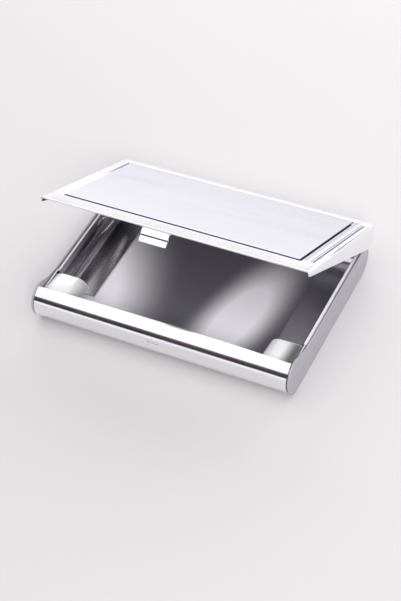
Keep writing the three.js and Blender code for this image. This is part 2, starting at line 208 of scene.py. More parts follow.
def add_strip(name, low, high):
    """A flat strip that lies level, from corner to corner."""
    deselect_all()
    bpy.ops.mesh.primitive_plane_add(size=1, location=span_middle(low, high))
    piece = bpy.context.object
    piece.name = name
    piece.scale = [high[0] - low[0], high[1] - low[1], 1]
    bpy.ops.object.transform_apply(location=True, rotation=True, scale=True)
    return piece


def edit(piece):
    deselect_all()
    piece.select_set(True)
    bpy.context.view_layer.objects.active = piece
    bpy.ops.object.mode_set(mode="EDIT")


def pick(piece, kind, test):
    """In edit mode, selects the elements of a kind whose corners all pass the test."""
    bpy.ops.mesh.select_mode(type=kind)
    bpy.ops.mesh.select_all(action="DESELECT")
    mesh = bmesh.from_edit_mesh(piece.data)
    group = {"VERT": mesh.verts, "EDGE": mesh.edges, "FACE": mesh.faces}[kind]
    for item in group:
        corners = [item] if kind == "VERT" else item.verts
        item.select_set(all(test(corner.co) for corner in corners))
    mesh.select_flush_mode()
    bmesh.update_edit_mesh(piece.data)


def pick_edges(piece, test):
    """In edit mode, selects the edges that pass a test of their own."""
    bpy.ops.mesh.select_mode(type="EDGE")
    bpy.ops.mesh.select_all(action="DESELECT")
    mesh = bmesh.from_edit_mesh(piece.data)
    for item in mesh.edges:
        item.select_set(test(item))
    bmesh.update_edit_mesh(piece.data)


def near(value, target, within=CLOSE):
    return abs(value - target) < within


def finish_faces(piece, index, test):
    """Gives the faces whose corners all pass the test another of the piece's materials."""
    for face in piece.data.polygons:
        if all(test(piece.data.vertices[corner].co) for corner in face.vertices):
            face.material_index = index


def pull_edge(piece, test, offset):
    """Draws the picked edges out into a new stretch of sheet."""
    pick(piece, "EDGE", test)
    bpy.ops.mesh.extrude_region_move(TRANSFORM_OT_translate={"value": offset})


def roll_edge(piece, test, centre, axis, angle, steps):
    """Rolls the picked edges round an axis into a bend. Spin turns against the right-hand rule."""
    pick(piece, "EDGE", test)
    bpy.ops.mesh.spin(steps=steps, angle=-angle, center=centre, axis=axis)


def slice_at(point, normal):
    bpy.ops.mesh.select_all(action="SELECT")
    bpy.ops.mesh.bisect(plane_co=point, plane_no=normal)


def face_away_from(piece, inside):
    """Turns an open sheet's faces so that they point away from a line or point inside it."""
    bpy.ops.mesh.select_all(action="SELECT")
    bpy.ops.mesh.remove_doubles(threshold=CLOSE)
    bpy.ops.mesh.normals_make_consistent(inside=False)
    mesh = bmesh.from_edit_mesh(piece.data)
    outward = sum((face.calc_center_median() - inside(face)).dot(face.normal) * face.calc_area()
                  for face in mesh.faces)
    if outward < 0:
        bpy.ops.mesh.select_all(action="SELECT")
        bpy.ops.mesh.flip_normals()


def apply_modifier(piece, kind, **settings):
    deselect_all()
    piece.select_set(True)
    bpy.context.view_layer.objects.active = piece
    modifier = piece.modifiers.new(kind.lower(), kind)
    for key, value in settings.items():
        setattr(modifier, key, value)
    bpy.ops.object.modifier_apply(modifier=modifier.name)


def thicken(piece, thickness):
    """Gives a sheet its wall, on the side that its faces point away from."""
    bpy.ops.object.mode_set(mode="OBJECT")
    apply_modifier(piece, "SOLIDIFY", thickness=thickness, offset=-1, use_even_offset=True)


def combine(piece, tool, operation):
    """Cuts a piece with a tool, or keeps what they share, and drops the tool."""
    apply_modifier(piece, "BOOLEAN", object=tool, operation=operation, solver="EXACT")
    bpy.data.objects.remove(tool)


def join_pieces(name, pieces):
    deselect_all()
    for piece in pieces:
        piece.select_set(True)
    bpy.context.view_layer.objects.active = pieces[0]
    bpy.ops.object.join()
    pieces[0].name = name
    return pieces[0]


def round_sharp(piece, test, width, segments):
    """Rounds the sharp edges whose ends both pass the test."""
    edit(piece)
    pick_edges(piece, lambda item: item.is_manifold and item.calc_face_angle() > SHARP
               and all(test(corner.co) for corner in item.verts))
    bpy.ops.mesh.bevel(offset=width, segments=segments, affect="EDGES")
    bpy.ops.object.mode_set(mode="OBJECT")


def round_edges(piece, width, segments=2, angle=35):
    apply_modifier(piece, "BEVEL", width=width, segments=segments, limit_method="ANGLE",
                   angle_limit=math.radians(angle), harden_normals=False, miter_outer="MITER_ARC")
    deselect_all()
    piece.select_set(True)
    bpy.context.view_layer.objects.active = piece
    bpy.ops.object.shade_smooth_by_angle(angle=math.radians(angle))
    apply_modifier(piece, "WEIGHTED_NORMAL", keep_sharp=True, weight=50)


def mirrored_copy(piece, name):
    """The same piece on the other side of X = 0, with its own mesh."""
    copy = piece.copy()
    copy.data = piece.data.copy()
    copy.name = name
    bpy.context.scene.collection.objects.link(copy)
    deselect_all()
    copy.select_set(True)
    bpy.context.view_layer.objects.active = copy
    copy.scale.x = -1
    bpy.ops.object.transform_apply(location=True, rotation=True, scale=True)
    bpy.ops.object.mode_set(mode="EDIT")
    bpy.ops.mesh.select_all(action="SELECT")
    bpy.ops.mesh.normals_make_consistent(inside=False)
    bpy.ops.object.mode_set(mode="OBJECT")
    return copy


def merged_copy(node, name):
    """A CAD node's solid with its triangles joined up, ready for its edges to be rounded."""
    source = frame["nodes"][node]
    copy = bpy.data.objects.new(name, source.data.copy())
    bpy.context.scene.collection.objects.link(copy)
    copy.data.materials.clear()
    edit(copy)
    bpy.ops.mesh.select_all(action="SELECT")
    bpy.ops.mesh.remove_doubles(threshold=CLOSE / 10)
    bpy.ops.mesh.dissolve_limited(angle_limit=math.radians(1))
    bpy.ops.object.mode_set(mode="OBJECT")
    return copy


def turn_piece(piece, turn):
    """Moves a piece by a matrix and writes the move into its mesh."""
    deselect_all()
    piece.select_set(True)
    bpy.context.view_layer.objects.active = piece
    piece.matrix_world = turn
    bpy.ops.object.transform_apply(location=True, rotation=True, scale=True)


def open_lid(piece):
    """Turns a piece that was modelled on the shut lid to where the lid stands."""
    turn_piece(piece, Place.lid_turn)


def settle(piece, materials, body, slot, *nodes):
    """Gives a finished piece its materials and body, and hides the CAD nodes that it stands for. The
    slot is not used.
    """
    indexes = [face.material_index for face in piece.data.polygons]
    piece.data.materials.clear()
    for material in materials if isinstance(materials, list) else [materials]:
        piece.data.materials.append(material)
    piece.data.polygons.foreach_set("material_index", indexes)
    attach(piece, body)
    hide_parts(*nodes)


# ---------- materials ----------
def new_metal(name, colour, roughness, metallic=1):
    material = bpy.data.materials.new(name)
    material.use_nodes = True
    shader = material.node_tree.nodes["Principled BSDF"]
    shader.inputs["Base Color"].default_value = (*colour, 1)
    shader.inputs["Metallic"].default_value = metallic
    shader.inputs["Roughness"].default_value = roughness
    return material


def add_noise(material, scale, detail=3, stretch=(1, 1, 1)):
    """A noise on Object coordinates, drawn out by a stretch along each axis."""
    nodes, links = material.node_tree.nodes, material.node_tree.links
    place = nodes.new("ShaderNodeTexCoord")
    mapping = nodes.new("ShaderNodeMapping")
    mapping.inputs["Scale"].default_value = stretch
    noise = nodes.new("ShaderNodeTexNoise")
    noise.inputs["Scale"].default_value = scale
    noise.inputs["Detail"].default_value = detail
    links.new(place.outputs["Object"], mapping.inputs["Vector"])
    links.new(mapping.outputs["Vector"], noise.inputs["Vector"])
    return noise.outputs["Fac"]


def vary_roughness(material, value, low, high):
    nodes, links = material.node_tree.nodes, material.node_tree.links
    spread = nodes.new("ShaderNodeMapRange")
    spread.inputs["From Min"].default_value = 0.3
    spread.inputs["From Max"].default_value = 0.7
    spread.inputs["To Min"].default_value = low
    spread.inputs["To Max"].default_value = high
    links.new(value, spread.inputs["Value"])
    links.new(spread.outputs["Result"], nodes["Principled BSDF"].inputs["Roughness"])


def vary_colour(material, value, dark, light, span=(0.3, 0.7)):
    nodes, links = material.node_tree.nodes, material.node_tree.links
    ramp = nodes.new("ShaderNodeValToRGB")
    ramp.color_ramp.elements[0].position = span[0]
    ramp.color_ramp.elements[0].color = (*dark, 1)
    ramp.color_ramp.elements[1].position = span[1]
    ramp.color_ramp.elements[1].color = (*light, 1)
    links.new(value, ramp.inputs["Fac"])
    links.new(ramp.outputs["Color"], nodes["Principled BSDF"].inputs["Base Color"])


def add_bump(material, value, height, strength=1.0):
    nodes, links = material.node_tree.nodes, material.node_tree.links
    bump = nodes.new("ShaderNodeBump")
    bump.inputs["Distance"].default_value = height
    bump.inputs["Strength"].default_value = strength
    links.new(value, bump.inputs["Height"])
    target = nodes["Principled BSDF"].inputs["Normal"]
    if target.is_linked:
        links.new(target.links[0].from_socket, bump.inputs["Normal"])
    links.new(bump.outputs["Normal"], target)


def shade(colour, factor):
    return [min(1, channel * factor) for channel in colour]


def made_once(build):
    """Keeps one material for every piece of a finish."""
    made = {}

    def get():
        if build.__name__ not in made:
            made[build.__name__] = build()
        return made[build.__name__]

    return get


@made_once
def polished_steel():
    """Bright rolled sheet: faint waviness, fingerprints in the gloss, hairline scratches."""
    material = new_metal("polished_steel", colours().polished, 0.1)
    vary_roughness(material, add_noise(material, 60, 4), 0.07, 0.15)
    add_bump(material, add_noise(material, 25, 1), 0.02 * MM, 0.5)
    add_bump(material, add_noise(material, 900, 2, (0.05, 1, 1)), 0.0006 * MM, 0.5)
    return material


@made_once
def mirror_liner():
    """Mirror-bright liner, a little wavy, with scuffs where cards slide."""
    material = new_metal("mirror_liner", colours().liner, 0.24)
    vary_roughness(material, add_noise(material, 45, 4), 0.18, 0.25)
    add_bump(material, add_noise(material, 18, 1), 0.05 * MM, 0.5)
    return material


@made_once
def floor_painted_glow():
    """Satin floor with painted light: a painted highlight in two soft ovals, to the front right and the
    front left, and painted shade elsewhere.
    """
    own = colours()
    material = new_metal("floor_painted_glow", own.floor_painted_highlight, 0.3, metallic=0)
    # Ovals of painted highlight on the floor: centre, turn and reach, in mm.
    painted_glow_right = ((16.5, -8), 12, (44, 16.5))
    side = ((-40, -14), -12, (56, 37))
    painted_highlight_mask = add_glows(material, painted_glow_right, side)
    vary_colour(material, painted_highlight_mask, own.floor_painted_shade, own.floor_painted_highlight, (0.0, 0.75))
    vary_roughness(material, add_noise(material, 45, 4), 0.3, 0.4)
    add_bump(material, add_noise(material, 2200, 2, (1, 0.04, 1)), 0.001 * MM, 0.4)
    return material


def add_glow(material, centre, turn, reach):
    """A soft oval on Object coordinates: its centre, its turn in degrees and its reach, in mm.

    Reach is the half length along Y and then along X, before the turn.
    """
    nodes, links = material.node_tree.nodes, material.node_tree.links
    place = nodes.new("ShaderNodeTexCoord")
    mapping = nodes.new("ShaderNodeMapping")
    mapping.vector_type = "TEXTURE"
    mapping.inputs["Location"].default_value = (centre[0] * MM, centre[1] * MM, 0)
    mapping.inputs["Rotation"].default_value = (0, 0, -math.radians(turn))
    mapping.inputs["Scale"].default_value = (reach[1] * MM, reach[0] * MM, 1)
    oval = nodes.new("ShaderNodeTexGradient")
    oval.gradient_type = "SPHERICAL"
    soft = nodes.new("ShaderNodeMapRange")
    soft.interpolation_type = "SMOOTHERSTEP"
    links.new(place.outputs["Object"], mapping.inputs["Vector"])
    links.new(mapping.outputs["Vector"], oval.inputs["Vector"])
    links.new(oval.outputs["Fac"], soft.inputs["Value"])
    return soft.outputs["Result"]


def add_glows(material, first, second):
    """Two soft ovals added up."""
    nodes, links = material.node_tree.nodes, material.node_tree.links
    total = nodes.new("ShaderNodeMath")
    total.operation = "ADD"
    total.use_clamp = True
    links.new(add_glow(material, *first), total.inputs[0])
    links.new(add_glow(material, *second), total.inputs[1])
    return total.outputs["Value"]


@made_once
def satin_hem():
    """Pale brushed finish of folded hems and rims."""
    material = new_metal("satin_hem", colours().spring, 0.35, metallic=0.25)
    vary_roughness(material, add_noise(material, 300, 3, (1, 0.1, 1)), 0.3, 0.42)
    add_bump(material, add_noise(material, 2200, 2, (1, 0.05, 1)), 0.001 * MM, 0.4)
    return material


@made_once
def painted_shadow_line():
    """Near-black painted shadow on the lid panel's sides, in the gap round it, and at the bottom of the
    tab's channel.
    """
    material = new_metal("painted_shadow_line", shade(colours().groove, 0.4), 0.4)
    vary_roughness(material, add_noise(material, 500, 3), 0.35, 0.45)
    return material


@made_once
def groove_painted_shade():
    """Dark blue colour at the bottom of the border's sunk lines: painted shade in the grooves."""
    material = new_metal("groove_painted_shade", colours().groove, 0.3)
    vary_roughness(material, add_noise(material, 400, 3, (1, 0.2, 1)), 0.3, 0.42)
    return material


@made_once
def satin_plate():
    """Fine grain along the end plates."""
    material = new_metal("satin_plate", colours().plate, 0.42, metallic=0.45)
    grain = add_noise(material, 2500, 2, (1, 0.04, 1))
    vary_colour(material, grain, shade(colours().plate, 0.93), shade(colours().plate, 1.06))
    vary_roughness(material, add_noise(material, 300, 3, (1, 0.15, 1)), 0.36, 0.48)
    add_bump(material, grain, 0.003 * MM, 0.5)
    return material


@made_once
def satin_panel():
    """Fine grain along the lid's panel."""
    material = new_metal("satin_panel", colours().panel, 0.36)
    grain = add_noise(material, 2600, 2, (0.03, 1, 1))
    vary_colour(material, grain, shade(colours().panel, 0.975), shade(colours().panel, 1.02))
    vary_roughness(material, add_noise(material, 220, 3, (0.1, 1, 1)), 0.32, 0.4)
    add_bump(material, grain, 0.002 * MM, 0.4)
    return material


def add_rolled_grain(material):
    """The faint grain of rolled spring sheet, along the case's depth."""
    vary_roughness(material, add_noise(material, 150, 3, (1, 0.2, 1)), 0.17, 0.25)
    add_bump(material, add_noise(material, 1500, 2, (1, 0.05, 1)), 0.001 * MM, 0.4)


@made_once
def spring_steel():
    """Bright spring sheet."""
    material = new_metal("spring_steel", colours().spring, 0.22, metallic=0.4)
    add_rolled_grain(material)
    return material


@made_once
def clip_painted_light():
    """Spring sheet of the clips with painted light: a painted highlight in a lengthwise band, placed
    differently on each clip, and painted shade away from it.
    """
    own = colours()
    material = new_metal("clip_painted_light", own.spring, 0.22, metallic=0.1)
    # Ovals of painted highlight, one for the right clip and one for the left; outside them the colour
    # falls to painted shade.
    right = ((37.8, -20), 0, (40, 7))
    left = ((-42, -20), 0, (40, 15))
    painted_highlight_mask = add_glows(material, right, left)
    vary_colour(material, painted_highlight_mask, shade(own.spring, 0.12), own.spring, (0.0, 0.8))
    add_rolled_grain(material)
    return material


@made_once
def hinge_steel():
    """Drawn hinge stock, with grain round the knuckles."""
    material = new_metal("hinge_steel", shade(colours().spring, 0.8), 0.34)
    vary_roughness(material, add_noise(material, 500, 3, (0.2, 1, 1)), 0.3, 0.4)
    add_bump(material, add_noise(material, 3000, 2, (1, 0.1, 0.1)), 0.002 * MM, 0.5)
    return material


@made_once
def bond_film():
    """Grey adhesive film."""
    material = new_metal("bond_film", (0.5, 0.5, 0.52), 0.8, metallic=0)
    vary_colour(material, add_noise(material, 400, 3), (0.42, 0.42, 0.44), (0.56, 0.56, 0.58))
    return material


# ---------- base ----------
class CARDCASE_OT_rolled_body(bpy.types.Operator):
    """Underside, rolled front edge and back wall, bent from one sheet"""

    bl_idname = "cardcase.rolled_body"
    bl_label = "Rolled Body"

    columns = 15
    slot_clearance = 0.15 * MM
    tool_before = 2 * MM
    tool_behind = 3 * MM

    def execute(self, context):
        own = sizes()
        half, radius, roll_y = Place.shell_end, Place.roll_radius, Place.roll_y
        back_y = Place.shell_high.y - own.rear_radius
        piece = add_strip("rolled_body", (-half, roll_y, 0), (half, back_y, 0))
        edit(piece)
        for column in range(1, self.columns + 1):
            x = half * (2 * column / (self.columns + 1) - 1)
            slice_at((x, 0, 0), (1, 0, 0))
        lip_angle = math.pi - own.lip_setback / radius
        roll_edge(piece, lambda co: near(co.y, roll_y), (0, roll_y, radius), (1, 0, 0),
                  -lip_angle, own.round_steps * 2)
        roll_edge(piece, lambda co: near(co.y, back_y), (0, back_y, own.rear_radius), (1, 0, 0),
                  math.pi / 2, own.round_steps)
        wall = top_behind("base_shell", 0) - own.rear_radius
        pull_edge(piece, lambda co: near(co.y, Place.shell_high.y), (0, 0, wall))
        self.bow_lip(piece, roll_y + radius * math.sin(lip_angle - math.pi), own.lip_bow)
        face_away_from(piece, lambda face: Vector((face.calc_center_median().x, 0, radius)))
        thicken(piece, own.sheet)
        self.cut_slot(piece)
        round_edges(piece, own.lid_round)
        settle(piece, polished_steel(), "base", "polished_steel", "base_shell")
        return {"FINISHED"}

    def bow_lip(self, piece, lip_y, bow):
        """Draws the ends of the lip's edge back and its middle out, column by column."""
        for column in range(self.columns + 2):
            x = Place.shell_end * (2 * column / (self.columns + 1) - 1)
            shift = bow * (0.5 - (x / Place.shell_end) ** 2)
            pick(piece, "VERT", lambda co: near(co.x, x, 2 * NEARBY) and near(co.y, lip_y, NEARBY)
                 and co.z > Place.roll_radius)
            bpy.ops.transform.translate(value=(0, shift, 0))

    def cut_slot(self, piece):
        """The small slot that the catch's lug is crimped into."""
        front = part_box("catch_spring")[0].y
        lug = [v.co for v in frame["nodes"]["catch_spring"].data.vertices if near(v.co.y, front)]
        grow = self.slot_clearance
        low = (min(co.x for co in lug) - grow, front - self.tool_before, min(co.z for co in lug) - grow)
        high = (max(co.x for co in lug) + grow, front + self.tool_behind, max(co.z for co in lug) + grow)
        combine(piece, add_box("slot_tool", low, high), "DIFFERENCE")


class CARDCASE_OT_end_plates(bpy.types.Operator):
    """The two plates that close the ends of the body"""

    bl_idname = "cardcase.end_plates"
    bl_label = "End Plates"

    top_corner = 2.5 * MM
    shoulder_length = 1.3
    shoulder_round = 3.6 * MM
    crown_flat = 0.5 * MM
    rim_steps = 3
    rim_angle = 60

    def execute(self, context):
        own = sizes()
        low, high, radius = Place.plate_low, Place.plate_high, Place.roll_radius
        crown_y = Place.roll_y
        foot_y = crown_y + self.shoulder_length * radius
        wall_top = top_behind("right_end_plate", 0)
        piece = add_box("end_plate_right", low, high)
        edit(piece)
        slice_at((0, crown_y + self.crown_flat, 0), (0, 1, 0))
        slice_at((0, foot_y, 0), (0, 1, 0))
        pick(piece, "VERT", lambda co: co.y > foot_y - CLOSE and near(co.z, high.z))
        bpy.ops.transform.translate(value=(0, 0, wall_top - high.z))
        self.round_corner(piece, lambda co: near(co.y, low.y) and co.z > radius, radius - CLOSE)
        self.round_corner(piece, lambda co: near(co.y, low.y) and co.z < CLOSE, radius - 2 * CLOSE)
        self.round_corner(piece, lambda co: near(co.y, high.y) and co.z < CLOSE, own.rear_radius)
        self.round_corner(piece, lambda co: near(co.y, high.y) and near(co.z, wall_top), self.top_corner)
        self.round_corner(piece, lambda co: near(co.y, foot_y) and near(co.z, wall_top),
                          self.shoulder_round)
        bpy.ops.object.mode_set(mode="OBJECT")
        round_edges(piece, own.rim_round, self.rim_steps, self.rim_angle)
        left = mirrored_copy(piece, "end_plate_left")
        settle(piece, satin_plate(), "base", "satin_plate", "right_end_plate")
        settle(left, satin_plate(), "base", "satin_plate", "left_end_plate")
        return {"FINISHED"}

    def round_corner(self, piece, test, radius):
        pick(piece, "EDGE", test)
        bpy.ops.mesh.bevel(offset=radius, segments=sizes().round_steps, affect="EDGES")


class CARDCASE_OT_floor_liner(bpy.types.Operator):
    """Satin floor of the card space"""

    bl_idname = "cardcase.floor_liner"
    bl_label = "Floor Liner"

    face_inset = 1.2 * MM

    def execute(self, context):
        piece = add_box("card_floor", Place.floor_low, Place.floor_high)
        edit(piece)
        pick(piece, "FACE", lambda co: near(co.z, Place.floor_high.z))
        bpy.ops.mesh.inset(thickness=self.face_inset)
        bpy.ops.object.mode_set(mode="OBJECT")
        round_edges(piece, sizes().edge_round)
        settle(piece, floor_painted_glow(), "base", "mirror_liner", "floor_liner")
        return {"FINISHED"}


class CARDCASE_OT_side_liners(bpy.types.Operator):
    """Curved inner walls, each with a folded hem and a narrow rim"""

    bl_idname = "cardcase.side_liners"
    bl_label = "Side Liners"

    hem_width = 1 * MM
    hem_round = 0.25 * MM
    hem_slope = math.radians(35)
    hem_fold = 0.3 * MM
    body_gap = 0.9 * MM
    foot_gap = body_gap / 4
    rim_lap = 0.2 * MM
    outside = 5 * MM

    def execute(self, context):
        own = sizes()
        low, high, fillet = Place.liner_low, Place.liner_high, own.liner_fillet
        foot_z = low.z + own.liner_sheet
        hem_front = min(v.co.y for v in frame["nodes"]["right_side_liner"].data.vertices
                        if near(v.co.x, low.x, NEARBY))
        wall_x = high.x - self.hem_width
        fillet_x = wall_x - fillet
        piece = add_strip("side_liner_right", (low.x, hem_front, foot_z),
                          (fillet_x, high.y, foot_z))
        edit(piece)
        roll_edge(piece, lambda co: near(co.x, fillet_x), (fillet_x, 0, foot_z + fillet), (0, 1, 0),
                  -math.pi / 2, own.round_steps)
        rise = high.z - self.hem_round - (foot_z + fillet)
        pull_edge(piece, lambda co: near(co.x, wall_x) and co.z > foot_z, (0, 0, rise))
        hem_z = high.z - self.hem_round
        across = self.hem_width - 2 * self.hem_round
        drop = across * math.tan(self.hem_slope)
        crest = Vector((math.sin(self.hem_slope), 0, math.cos(self.hem_slope))) * self.hem_round
        inner = Vector((wall_x + self.hem_round, 0, hem_z))
        outer = inner + Vector((across, 0, -drop))
        roll_edge(piece, lambda co: near(co.z, hem_z), inner, (0, 1, 0),
                  math.pi / 2 + self.hem_slope, own.round_steps // 3)
        pull_edge(piece, lambda co: near(co.x, (inner + crest).x) and near(co.z, (inner + crest).z),
                  outer - inner)
        roll_edge(piece, lambda co: near(co.x, (outer + crest).x) and near(co.z, (outer + crest).z),
                  outer, (0, 1, 0), math.pi / 2 - self.hem_slope, own.round_steps // 6)
        pull_edge(piece, lambda co: near(co.x, high.x), (0, 0, -self.hem_fold))
        face_away_from(piece, lambda face: Vector((high.x + self.outside, face.calc_center_median().y,
                                                   -self.outside)))
        thicken(piece, own.liner_sheet / 2)
        keep = self.space_inside_body(low, high)
        combine(piece, keep, "INTERSECT")
        rim = self.narrow_rim(hem_front)
        piece = join_pieces("side_liner_right", [piece, rim])
        round_edges(piece, own.edge_round / 2)
        finish_faces(piece, 1, lambda co: co.z > hem_z - drop - self.hem_fold - CLOSE
                     and co.x > wall_x - CLOSE)
        left = mirrored_copy(piece, "side_liner_left")
        finishes = [mirror_liner(), satin_hem()]
        settle(piece, finishes, "base", "mirror_liner", "right_side_liner")
        settle(left, finishes, "base", "mirror_liner", "left_side_liner")
        return {"FINISHED"}

    def space_inside_body(self, low, high):
        """A block with the rounded lower back edge of the body's inside."""
        own = sizes()
        keep = add_box("keep_tool", (low.x - MM, low.y - MM, self.foot_gap),
                       (high.x + MM, high.y, high.z + MM))
        edit(keep)
        pick(keep, "EDGE", lambda co: near(co.y, high.y) and near(co.z, self.foot_gap))
        bpy.ops.mesh.bevel(offset=own.rear_radius - self.body_gap, segments=own.round_steps,
                           affect="EDGES")
        bpy.ops.object.mode_set(mode="OBJECT")
        return keep

    def narrow_rim(self, hem_front):
        """The wall's plain edge between the hem's end and the roll."""
        vertices = frame["nodes"]["right_side_liner"].data.vertices
        low, high = corners_of([v.co for v in vertices if v.co.y < hem_front - CLOSE])
        return add_box("rim", low, (high.x, hem_front + self.rim_lap, high.z))


class CARDCASE_OT_corner_clips(bpy.types.Operator):
    """Arched clips that hold down the front corners of the cards"""

    bl_idname = "cardcase.corner_clips"
    bl_label = "Corner Clips"

    arch_reach = 3.2 * MM
    arch_drop = 0.7 * MM
    tilt = math.radians(7)
    under_lip = 2.5 * MM
    outward = 0.25 * MM
    shoulder_turn = 75
    corner_round = 1.6 * MM
    corner_steps = 6
    rim_steps = ((0.22, -0.05), (0.18, -0.13), (0.1, -0.2), (0.02, -0.35))

    def execute(self, context):
        own = sizes()
        low, high = Place.clip_low, Place.clip_high + Vector((self.outward, 0, 0))
        flat_end = high.x - self.arch_reach
        flat_start = low.x + own.clip_shoulder
        back = high.y - sum(step[0] for step in self.rim_steps) * MM
        front = max(low.y, Place.roll_y - self.under_lip)
        piece = add_strip("corner_clip_right", (flat_start, front, high.z), (flat_end, back, high.z))
        edit(piece)
        arch_radius = (self.arch_reach ** 2 + self.arch_drop ** 2) / (2 * self.arch_drop)
        roll_edge(piece, lambda co: near(co.x, flat_end), (flat_end, 0, high.z - arch_radius),
                  (0, 1, 0), math.asin(self.arch_reach / arch_radius), own.round_steps // 2)
        roll_edge(piece, lambda co: near(co.x, flat_start),
                  (flat_start, 0, high.z - own.clip_shoulder), (0, 1, 0),
                  -math.radians(self.shoulder_turn), own.round_steps)
        bpy.ops.mesh.select_all(action="SELECT")
        bpy.ops.mesh.remove_doubles(threshold=CLOSE)
        pick(piece, "VERT", lambda co: near(co.y, back) and near(co.x, self.inner_end(own)))
        bpy.ops.mesh.bevel(offset=self.corner_round, segments=self.corner_steps, affect="VERTICES")
        self.turn_down_rim(piece, back)
        face_away_from(piece, lambda face: Vector((flat_start, face.calc_center_median().y, 0)))
        thicken(piece, own.liner_sheet)
        round_edges(piece, own.edge_round)
        finish_faces(piece, 1, lambda co: co.y > back - CLOSE)
        hold = Matrix.Translation((0, back, high.z))
        turn_piece(piece, hold @ Matrix.Rotation(-self.tilt, 4, "X") @ hold.inverted())
        left = mirrored_copy(piece, "corner_clip_left")
        finishes = [clip_painted_light(), spring_steel()]
        settle(piece, finishes, "base", "spring_steel", "right_corner_clip")
        settle(left, finishes, "base", "spring_steel", "left_corner_clip")
        return {"FINISHED"}

    def inner_end(self, own):
        """X of the shoulder's lower end."""
        turn = math.radians(self.shoulder_turn)
        return Place.clip_low.x + own.clip_shoulder * (1 - math.sin(turn))

    def turn_down_rim(self, piece, back):
        """Bends the back edge down in a small round rim."""
        def at_rim(item):
            ends = [corner.co for corner in item.verts]
            at_back = all(co.y > back - self.corner_round - CLOSE for co in ends)
            across = any(near(co.y, back) for co in ends)
            return item.is_boundary and at_back and across

        pick_edges(piece, at_rim)
        for along, down in self.rim_steps:
            offset = (0, along * MM, down * MM)
            bpy.ops.mesh.extrude_region_move(TRANSFORM_OT_translate={"value": offset})


class CARDCASE_OT_hinge(bpy.types.Operator):
    """Hinge leaves, pin and catch, with their edges eased"""

    bl_idname = "cardcase.hinge"
    bl_label = "Hinge and Catch"

    rows = (("base_hinge_leaf", "hinge_strip_base", "base", "hinge_steel"),
            ("hinge_pin", "pin", "base", "hinge_steel"),
            ("lid_hinge_leaf", "hinge_strip_lid", "lid", "hinge_steel"),
            ("catch_spring", "catch", "base", "spring_steel"))
    eased_edge = 0.06 * MM
    eased_angle = 40

    def execute(self, context):
        finishes = {"hinge_steel": hinge_steel, "spring_steel": spring_steel}
        for node, name, body, slot in self.rows:
            piece = merged_copy(node, name)
            round_edges(piece, self.eased_edge, angle=self.eased_angle)
            settle(piece, finishes[slot](), body, slot, node)
        return {"FINISHED"}


